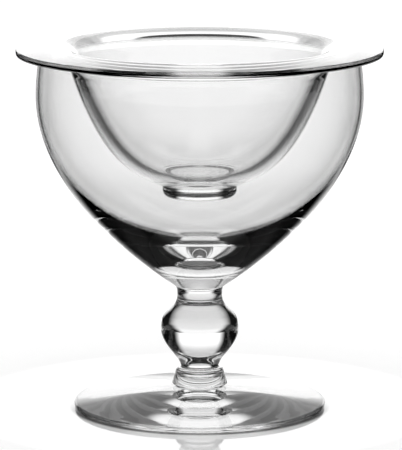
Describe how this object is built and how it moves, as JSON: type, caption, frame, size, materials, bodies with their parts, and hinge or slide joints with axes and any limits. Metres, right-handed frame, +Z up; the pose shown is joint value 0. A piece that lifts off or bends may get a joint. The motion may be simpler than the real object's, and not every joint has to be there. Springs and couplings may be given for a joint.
{
  "type": "seafood cocktail glass",
  "caption": "Clear crystal seafood cocktail icer: a stemmed bowl for crushed ice with a ball stem and disc foot, and a flanged liner cup that hangs in it and lifts out.",
  "frame": {"origin": "on the table, under the middle of the foot", "axes": "+Z up along the turned axis of the glass; X and Y are free, because every piece is turned"},
  "size_m": [0.127, 0.127, 0.1273],
  "materials": {
    "icer_crystal": "clear, colourless, fire-polished",
    "liner_crystal": "clear, colourless, fire-polished"
  },
  "bodies": {
    "icer": {"foot": "icer_crystal", "foot_collar": "icer_crystal", "ball_stem": "icer_crystal", "icer_bowl": "icer_crystal"},
    "liner": {"liner_bowl": "liner_crystal", "liner_pad": "liner_crystal"}
  },
  "joints": [
    {"name": "liner_lift", "type": "slide", "parent": "icer", "child": "liner", "axis": [0, 0, 1], "range_m": [0, 0.075]}
  ]
}
